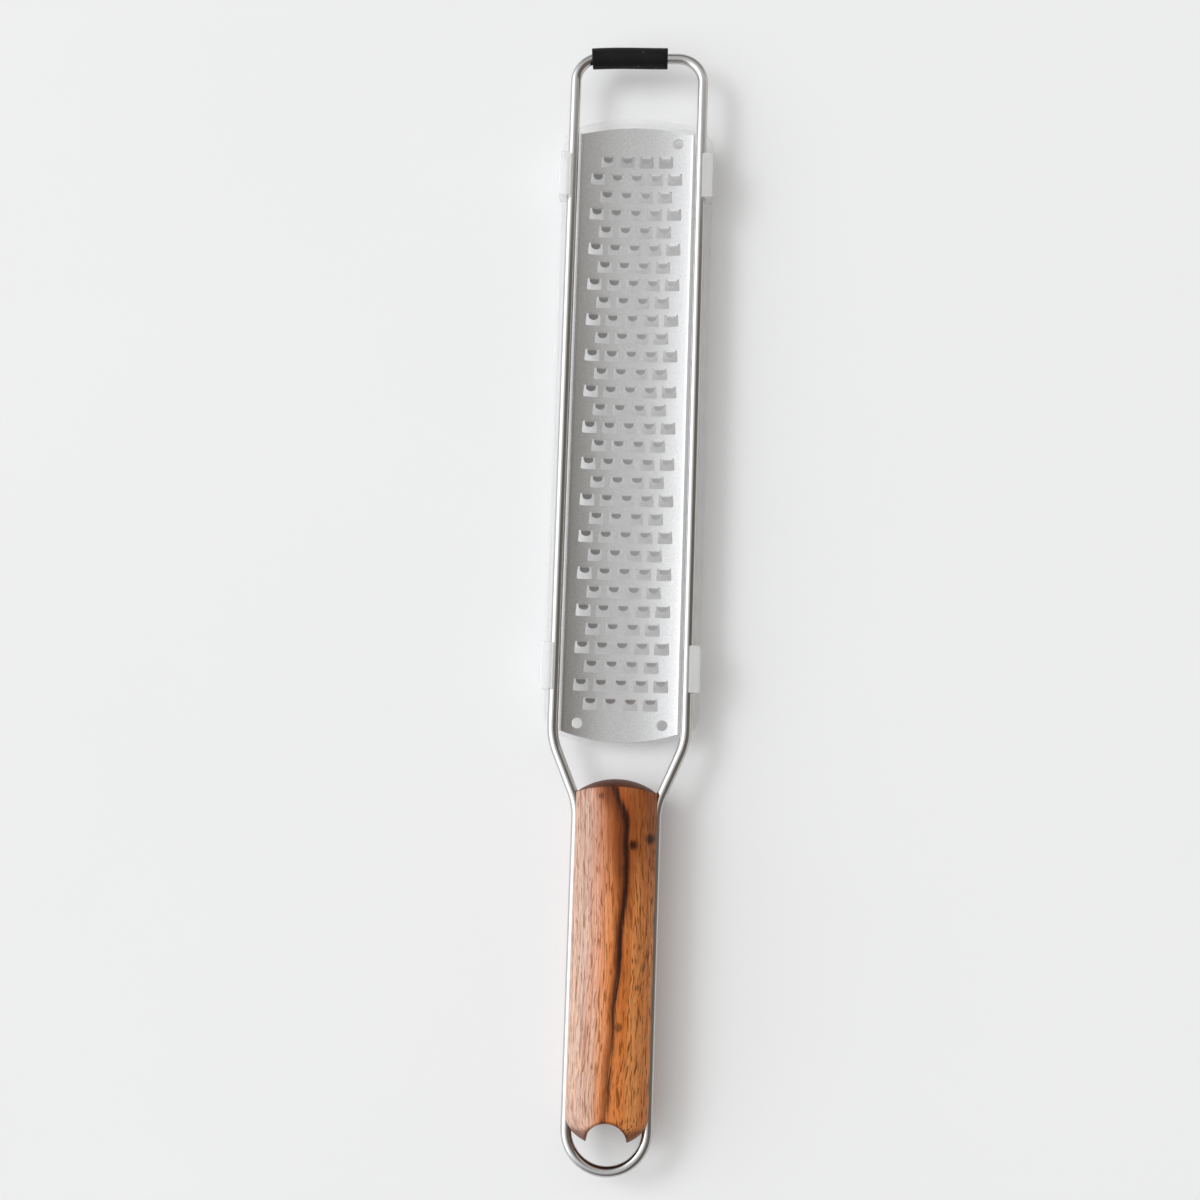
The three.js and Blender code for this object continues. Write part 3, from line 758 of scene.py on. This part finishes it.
def sheet_end(blade, across, up, edge_y, tip_y, holes):
    """One end of the sheet, from the last row of teeth to the bowed end, with its round holes.

    The end is an arc of the end radius, rounded at its corners. The lines between divide the way from the teeth to
    the arc so that three even steps lie about the holes. There a block of three by three faces gives way to a ring of
    five-sided ones.
    """
    outward = math.copysign(1.0, tip_y - edge_y)
    bow = blade.end_radius - np.sqrt(blade.end_radius ** 2 - across ** 2)
    over = np.maximum(np.abs(across) - (blade_high.x - blade.corner_radius), 0)
    bow = bow + blade.corner_radius - np.sqrt(blade.corner_radius ** 2 - over ** 2)
    end_y = tip_y - outward * bow
    hole_y = tip_y - outward * blade.hole_inset
    hole_span = abs(np.interp(blade.hole_across, across, end_y) - edge_y)
    half_block = 0.375 * blade.column_pitch
    middle, reach = abs(hole_y - edge_y) / hole_span, half_block / hole_span
    share = np.array([0.0, middle - reach, middle - reach / 3, middle + reach / 3, middle + reach, 1.0])
    along = edge_y + share[:, None] * (end_y - edge_y)
    rows, columns = along.shape
    points = np.stack(np.broadcast_arrays(across, along, up), -1).reshape(-1, 3)
    order = slice(None, None, int(outward))
    faces = grid_faces(rows, columns)[:, order]
    rims, rings = [], []
    for side in holes:
        hole_x = side * blade.hole_across
        near = int(np.argmin(np.abs(across - hole_x + half_block)))
        block = near + np.arange(3)
        first = faces.min(1)
        faces = faces[~(np.isin(first % columns, block) & np.isin(first // columns, [1, 2, 3]))]
        outline = np.concatenate([columns + block, columns * np.arange(1, 4) + near + 3,
                                  columns * 4 + near + np.arange(3, 0, -1), columns * np.arange(4, 1, -1) + near])
        away = np.unwrap(np.arctan2(points[outline, 1] - hole_y, points[outline, 0] - hole_x))
        whole_turn = np.sign(away[-1] - away[0]) * 2 * np.pi
        half_way = away + np.diff(np.append(away, away[0] + whole_turn)) / 2
        angle = np.stack([away, half_way], 1).reshape(-1)
        rim_x = hole_x + blade.hole_diameter / 2 * np.cos(angle)
        rim_y = hole_y + blade.hole_diameter / 2 * np.sin(angle)
        start = rows * columns + len(angle) * len(rims)
        here = 2 * np.arange(len(outline))
        ring = [outline, np.roll(outline, -1), start + (here + 2) % len(angle), start + here + 1, start + here]
        rims.append(np.stack([rim_x, rim_y, trough(blade, rim_x)], 1))
        rings.append(np.stack(ring, 1)[:, order])
    return np.concatenate([points] + rims), faces, np.concatenate(rings)


class GRATER_OT_blade(bpy.types.Operator):
    """Press the toothed blade"""

    bl_idname = "grater.blade"
    bl_label = "Toothed blade"

    def execute(self, context):
        blade = context.scene.grater_blade
        pitch = blade.column_pitch
        surface = Surface()
        row_y = blade.first_row - np.arange(blade.rows) * blade.row_pitch
        four = np.stack(np.meshgrid(np.arange(-1.5, 2) * pitch, row_y[::2]), -1).reshape(-1, 2)
        five = np.stack(np.meshgrid(np.arange(-2.0, 3) * pitch, row_y[1::2]), -1).reshape(-1, 2)
        middles = np.concatenate([four, five])
        cell, faces = tooth_cell(blade)
        across = middles[:, :1] + cell[:, 0]
        along = middles[:, 1:] - cell[:, 1]
        up = trough(blade, across) - cell[:, 2]
        first = np.arange(len(middles))[:, None, None] * len(cell)
        surface.add_sheet(across, along, up, (faces + first).reshape(-1, 4), side=1)

        quarter = np.linspace(0.5, -0.5, 5) * blade.row_pitch
        lines = (row_y[::2, None] + quarter).reshape(-1)
        grid = grid_faces(3, len(lines))
        grid = grid[grid[:, 0] % len(lines) % len(quarter) != len(quarter) - 1]
        for side in (-1, 1):
            across = side * (2 + 0.25 * np.arange(3)[:, None]) * pitch
            surface.add_sheet(across, lines, trough(blade, across), grid, side)

        profile, rise = sheet_profile(blade)
        lines = blade.first_row + blade.row_pitch * (0.5 - np.arange(4 * blade.rows + 1) / 4)
        grid = grid_faces(len(profile), len(lines))
        for side in (-1, 1):
            surface.add_sheet(side * profile[:, None], lines, rise[:, None], grid, side)

        inside = np.arange(-9, 10) * 0.25 * pitch
        across = np.concatenate([-profile[::-1], inside, profile])
        up = np.concatenate([rise[::-1], trough(blade, inside), rise])
        surface.add(*sheet_end(blade, across, up, lines[0], blade_high.y, (1,)))
        surface.add(*sheet_end(blade, across, up, lines[-1], blade_low.y, (-1, 1)))

        piece = surface.build("toothed_blade")
        wall = piece.modifiers.new("sheet", "SOLIDIFY")
        wall.thickness = blade.sheet
        wall.offset = -1.0
        wall.use_even_offset = True
        settle(piece)
        finish_piece(piece, satin_steel(blade), "grater", "grating_blade", sharp=40)
        return {"FINISHED"}


class GRATER_OT_sleeve(bpy.types.Operator):
    """Push the rubber sleeve onto the nose"""

    bl_idname = "grater.sleeve"
    bl_label = "Rubber sleeve"

    def execute(self, context):
        """A closed outline of run and radius goes along the crossbar and round the start of its left bend.

        The bore is straight up to the bend, and beyond it the angle round the bend is the rest of the run divided by
        the bend's radius. The stiff rubber outside sinks less than the wire in it: by the square of the run past the
        middle, so that its end stays nearly square.
        """
        sleeve = context.scene.grater_sleeve
        wire = context.scene.grater_wire
        bore_gap, swell_depth, swells, lean_share, sides = 0.00002, 0.006, 9, 0.2, 48
        outer = (sleeve_high.z - sleeve_low.z) / 2
        bore = wire.diameter / 2 + bore_gap
        turn = np.linspace(0, np.pi / 2, 5)
        corner_run = sleeve.edge * (1 - np.sin(turn))
        corner_radius = outer - sleeve.edge * (1 - np.cos(turn))
        middle = np.linspace(sleeve.edge, sleeve.reach - sleeve.edge, 24)[1:-1]
        phase = np.pi * middle / sleeve.reach
        swell = 1 - swell_depth * (1 - np.sin(phase)) * np.sin(swells * phase) ** 2
        inside = np.linspace(sleeve.reach, 0, 16)
        run = np.concatenate([corner_run[::-1], middle, sleeve.reach - corner_run, inside])
        radius = np.concatenate([corner_radius[::-1], outer * swell, corner_radius, np.full(len(inside), bore)])
        bend_x = wire.diameter / 2 + wire.nose_bend - wire_high.x
        straight = sleeve.start - bend_x
        angle = np.maximum(run - straight, 0) / wire.nose_bend
        past = np.maximum(2 * run / sleeve.reach - 1, 0)
        sunk = np.where(radius > bore, sleeve.sag * past ** 2, wire.nose_bend * (1 - np.cos(angle)))
        points = np.stack([sleeve.start - np.minimum(run, straight) - wire.nose_bend * np.sin(angle),
                           wire_high.y - wire.diameter / 2 - sunk], 1)
        directions = np.stack([-np.cos(lean_share * angle), -np.sin(lean_share * angle)], 1)
        surface = Surface()
        surface.add_tube(ringed(points, directions, radius, (sleeve_low.z + sleeve_high.z) / 2, sides))
        finish_piece(surface.build("rubber_sleeve"), black_rubber(sleeve), "grater", "nose_sleeve",
                     sharp=50)
        return {"FINISHED"}


def handle_section(handle, leg):
    """Outline of the handle's section as across and up from the wires' height, clockwise from the top.

    It is an oval, cut flat where it would pass below the table. A round groove about each leg of the wire breaks
    it, and the groove's mouth lies on a line from the middle.
    """
    mouth = math.acos(handle.groove_mouth / handle.half_height)
    above = np.linspace(0, mouth, 19)
    turn = np.radians(np.linspace(75, -75, 11))
    groove = np.stack([leg - handle.groove_radius * np.cos(turn), handle.groove_radius * np.sin(turn)], 1)
    angle = np.concatenate([above, np.pi - above[::-1]])
    up = np.maximum(handle.half_height * np.cos(angle), -wire_height)
    oval = np.stack([handle.half_width * np.sin(angle), up], 1)
    right = np.concatenate([oval[:len(above)], groove, oval[len(above):]])
    return np.concatenate([right, right[-2:0:-1] * [-1, 1]])


def halved(test, low, high):
    """Where a falling function of whole arrays crosses nought, by halving the span again and again."""
    for _ in range(50):
        middle = (low + high) / 2
        above = test(middle) > 0
        low = np.where(above, middle, low)
        high = np.where(above, high, middle)
    return (low + high) / 2


class GRATER_OT_handle(bpy.types.Operator):
    """Shape the wooden handle"""

    bl_idname = "grater.handle"
    bl_label = "Wooden handle"

    def execute(self, context):
        """The section's points run along the handle, and both ends are closed by rings that shrink to the middle.

        At the front a point lies on a dome about the handle's axis: the dome's centre plus the square root of its
        radius squared less the distance from the axis squared. At the back the section shrinks by a share, and the
        square root of one less the share squared, times the back's rise, is how far it lies towards the tip. The
        notch, an upright round cut, holds where it reaches further in, and one ring follows the line on which the
        two meet.
        """
        handle = context.scene.grater_handle
        wire = context.scene.grater_wire
        front_y, back_y = handle_high.y, handle.back_tip
        front_middle = front_y - handle.front_radius
        far_behind = -1.0
        section = handle_section(handle, wire.leg_spacing / 2)
        squared = (section ** 2).sum(1)

        def rounded(share):
            return back_y + handle.back_rise * (1 - np.sqrt(1 - share ** 2))

        def notch(across):
            inside = handle.notch_radius ** 2 - across ** 2
            return np.where(inside > 0, handle.notch_middle + np.sqrt(np.maximum(inside, 0)), far_behind)

        def meet(share):
            return notch(share * section[:, 0]) - rounded(share)

        line = halved(meet, np.zeros(len(section)), np.ones(len(section)))
        front_share = np.linspace(0, 1, 13)[:, None] * np.ones(len(section))
        inner = np.linspace(0, 1, 9)[:, None] * line
        outer = np.sin(np.arcsin(line) + np.linspace(0, 1, 13)[1:, None] * (np.pi / 2 - np.arcsin(line)))
        back_share = np.concatenate([inner, outer])
        front_along = front_middle + np.sqrt(handle.front_radius ** 2 - front_share ** 2 * squared)
        back_along = np.maximum(rounded(back_share), notch(back_share * section[:, 0]))
        sides = np.linspace(0, 1, 14)[1:-1, None]
        side_along = front_along[-1] + sides * (back_along[-1] - front_along[-1])
        share = np.concatenate([front_share, np.ones_like(side_along), back_share[::-1]])
        along = np.concatenate([front_along, side_along, back_along[::-1]])
        points = np.stack([share * section[:, 0], along, wire_height + share * section[:, 1]], -1)
        surface = Surface()
        surface.add(points, grid_faces(*points.shape[:2], close_columns=True))
        piece = surface.build("wooden_handle")
        ease_edges(piece, handle.edge, segments=3, angle=38)
        finish_piece(piece, oiled_wood(handle, front_y, back_y), "grater", "wood_handle", sharp=35)
        return {"FINISHED"}


def cover_outline(cover, inset):
    """Plan of the cover moved in by an inset: bowed ends, straight sides and round corners.

    The right half goes from the middle of the front to the middle of the back, and the left half mirrors it. A
    corner's arc touches the side, and the bowed end from within, so its centre is one corner radius from the side
    and lies on a circle that is one corner radius smaller than the bow.
    """
    half = cover_high.x - inset
    corner = cover.corner_radius - inset
    bow = cover.end_radius - inset
    middle = (cover_low.y + cover_high.y) / 2
    bow_middle = cover_high.y - cover.end_radius - middle
    centre_x = half - corner
    centre_y = bow_middle + math.sqrt((bow - corner) ** 2 - centre_x ** 2)
    lean = math.atan2(centre_x, centre_y - bow_middle)
    end = np.linspace(0, lean, 12)
    turn = np.linspace(lean, np.pi / 2, 11)[1:]
    quarter = np.concatenate([
        np.stack([bow * np.sin(end), bow_middle + bow * np.cos(end)], 1),
        np.stack([centre_x + corner * np.sin(turn), centre_y + corner * np.cos(turn)], 1)])
    right = np.concatenate([quarter, quarter[::-1] * [1, -1]])
    loop = np.concatenate([right, right[-2:0:-1] * [-1, 1]])
    return loop + [0, middle]


def clip_shape(cover, wire, side, middle):
    """One clip: a hook's outline carried along the wire, with its two ends closed.

    The hook's inside is an arc about the wire's middle. It runs on into a ledge under the wire and ends above the
    wire in a short lip.
    """
    radius = wire.diameter / 2 + cover.clearance
    wire_x = wire_high.x - wire.diameter / 2
    out = cover_high.x
    top = wire_height + radius + cover.clip_lip
    bottom = wire_height - radius
    turn = np.linspace(math.acos((wire.diameter / 2 - cover.clip_reach) / radius), -np.pi / 2, 16)
    inside = np.stack([wire_x + radius * np.cos(turn), wire_height + radius * np.sin(turn)], 1)
    turn = np.radians(np.linspace(0, 90, 6))
    crown = np.stack([out - cover.clip_lip * (1 - np.cos(turn)) / 2, top - cover.clip_lip * (1 - np.sin(turn)) / 2], 1)
    ledge = blade_high.x + 2 * cover.clearance
    wall = out - cover.clip_wall
    rest = [[ledge, bottom], [ledge, bottom - cover.clip_ledge], [wall, bottom - cover.clip_ledge],
            [wall, cover.floor / 2], [out, cover.floor / 2]]
    outline = np.concatenate([crown, [[inside[0, 0], top]], inside, rest])
    ends = middle + cover.clip_length * np.array([-0.5, 0.5])
    points = np.stack(np.broadcast_arrays(side * outline[:, 0], ends[:, None], outline[:, 1]), -1)
    here = np.arange(len(outline))[None]
    return points, grid_faces(2, len(outline), close_columns=True), here[:, ::-1], len(outline) + here


class GRATER_OT_cover(bpy.types.Operator):
    """Mould the clear cover"""

    bl_idname = "grater.cover"
    bl_label = "Clear cover"

    def execute(self, context):
        """A rim's section goes round the cover's plan, and strips from side to side close the floor's two faces."""
        cover = context.scene.grater_cover
        wire = context.scene.grater_wire
        rim_edge, foot_edge, floor_inset = 0.0003, 0.0005, 0.004
        turn = np.radians(np.linspace(0, 90, 4))
        sine, cosine = np.sin(turn), np.cos(turn)
        top = cover.rim_height - rim_edge
        section = np.concatenate([
            [[floor_inset, 0.0]],
            np.stack([foot_edge - foot_edge * sine, foot_edge - foot_edge * cosine], 1),
            np.stack([rim_edge - rim_edge * cosine, top + rim_edge * sine], 1),
            np.stack([cover.rim - rim_edge + rim_edge * sine, top + rim_edge * cosine], 1),
            np.stack([cover.rim + rim_edge - rim_edge * cosine, cover.floor + rim_edge - rim_edge * sine], 1),
            [[floor_inset, cover.floor]]])
        outlines = np.stack([cover_outline(cover, inset) for inset in section[:, 0]])
        rows, columns = outlines.shape[:2]
        loops = np.concatenate([outlines, np.broadcast_to(section[:, None, 1:], (rows, columns, 1))], -1)
        half = columns // 2
        right = np.arange(1, half - 1)
        strip = np.stack([right, right + 1, columns - right - 1, columns - right], 1)
        ends = np.array([[columns - 1, 0, 1], [half - 1, half, half + 1]])
        upper = (rows - 1) * columns
        surface = Surface()
        surface.add(loops, grid_faces(rows, columns, close_columns=True), strip[:, ::-1], ends[:, ::-1],
                    upper + strip, upper + ends)
        piece = surface.build("clear_cover")
        for side in (-1, 1):
            for middle in (cover.clip_front, cover.clip_back):
                clip = Surface()
                clip.add(*clip_shape(cover, wire, side, middle))
                tool = clip.build("clip")
                ease_edges(tool, cover.clip_edge, segments=2, angle=50)
                joined = piece.modifiers.new("clip", "BOOLEAN")
                joined.operation = "UNION"
                joined.solver = "MANIFOLD"
                joined.object = tool
                settle(piece)
                bpy.data.objects.remove(tool)
        finish_piece(piece, clear_plastic(cover), "cover", "blade_cover", sharp=35)
        return {"FINISHED"}


# Light of the room from its left to its right: position and colour.
ROOM = ((0.0, (2.20, 2.23, 2.28)), (0.10, (2.50, 2.53, 2.57)), (0.20, (2.25, 2.28, 2.31)), (0.29, (1.38, 1.39, 1.41)),
        (0.40, (0.90, 0.905, 0.91)), (0.50, (0.73, 0.73, 0.73)), (0.585, (0.42, 0.415, 0.405)),
        (0.67, (0.20, 0.185, 0.16)), (0.80, (0.19, 0.175, 0.15)), (1.0, (0.24, 0.22, 0.19)))


def studio_room(stage):
    """The room: bright on the left and dim on the right, with a soft light beyond the nose.

    Both ends are dark, and all round the horizon the room has the backdrop's tone.
    """
    room = Finish(bpy.data.worlds.new("room"))
    across, along, up = room.axes(room.node("ShaderNodeTexCoord", output="Generated"))
    glow = room.layers(
        room.ramp(0.5 * across + 0.5, ROOM),
        (0.8 * room.between(along, 0.30, 0.48) * room.between(across, -0.10, 0.15), (0.95, 0.93, 0.91)),
        (0.8 * room.between(abs(along), 0.40, 0.85), (0.12, 0.115, 0.11)),
        (1.0 - room.between(abs(up), 0.09, 0.15), stage.backdrop))
    light = room.node("ShaderNodeBackground", {}, {"Color": glow, "Strength": 1.0})
    room.node("ShaderNodeOutputWorld", {}, {"Surface": light})
    return room.owner


class GRATER_OT_stage(bpy.types.Operator):
    """Set the table, the lamp, the room and the camera"""

    bl_idname = "grater.stage"
    bl_label = "Stage"

    def execute(self, context):
        scene = context.scene
        stage = scene.grater_stage
        half_table, table_drop, lines = 3.0, 0.0002, 9
        spread = np.linspace(-half_table, half_table, lines)
        surface = Surface()
        surface.add_sheet(spread, spread[:, None], -table_drop, grid_faces(lines, lines), side=1)
        table = surface.build("table")
        table.data.materials.append(pale_table(stage))

        lamp = bpy.data.objects.new("window_lamp", bpy.data.lights.new("window_lamp", "AREA"))
        lamp.data.shape = "RECTANGLE"
        lamp.data.size, lamp.data.size_y = stage.lamp_width, stage.lamp_height
        lamp.data.color = stage.lamp_colour
        lamp.data.energy = stage.lamp_power
        lamp.location = stage.lamp_place
        lamp.rotation_euler = Vector(stage.lamp_place).to_track_quat("Z", "Y").to_euler()
        lamp.visible_glossy = False
        scene.collection.objects.link(lamp)
        scene.world = studio_room(stage)

        camera = bpy.data.objects.new("camera", bpy.data.cameras.new("camera"))
        camera.data.lens = 50.0
        camera.data.sensor_width = 36.0
        camera.location = stage.camera_place
        camera.rotation_euler = stage.camera_turn
        scene.collection.objects.link(camera)
        scene.camera = camera
        scene.view_settings.view_transform = "Standard"
        return {"FINISHED"}


class GRATER_PT_pieces(bpy.types.Panel):
    """The grater's pieces, in the order in which they are made"""

    bl_idname = "GRATER_PT_pieces"
    bl_label = "Cheese grater"
    bl_space_type = "VIEW_3D"
    bl_region_type = "UI"
    bl_category = "Grater"

    def draw(self, context):
        for operator, settings in STEPS:
            self.layout.operator(operator.bl_idname)
            box = self.layout.box()
            for name in getattr(context.scene, settings).__annotations__:
                box.prop(getattr(context.scene, settings), name)


SETTINGS = {
    "grater_wire": WireSettings,
    "grater_blade": BladeSettings,
    "grater_sleeve": SleeveSettings,
    "grater_handle": HandleSettings,
    "grater_cover": CoverSettings,
    "grater_stage": StageSettings,
}
STEPS = (
    (GRATER_OT_wire, "grater_wire"),
    (GRATER_OT_blade, "grater_blade"),
    (GRATER_OT_sleeve, "grater_sleeve"),
    (GRATER_OT_handle, "grater_handle"),
    (GRATER_OT_cover, "grater_cover"),
    (GRATER_OT_stage, "grater_stage"),
)


def register():
    for name, group in SETTINGS.items():
        bpy.utils.register_class(group)
        setattr(bpy.types.Scene, name, PointerProperty(type=group))
    for operator, _ in STEPS:
        bpy.utils.register_class(operator)
    bpy.utils.register_class(GRATER_PT_pieces)


def unregister():
    bpy.utils.unregister_class(GRATER_PT_pieces)
    for operator, _ in reversed(STEPS):
        bpy.utils.unregister_class(operator)
    for name, group in reversed(SETTINGS.items()):
        delattr(bpy.types.Scene, name)
        bpy.utils.unregister_class(group)


def main():
    register()
    bpy.ops.grater.wire()
    bpy.ops.grater.blade()
    bpy.ops.grater.sleeve()
    bpy.ops.grater.handle()
    bpy.ops.grater.cover()
    bpy.ops.grater.stage()


if __name__ == "__main__":
    main()
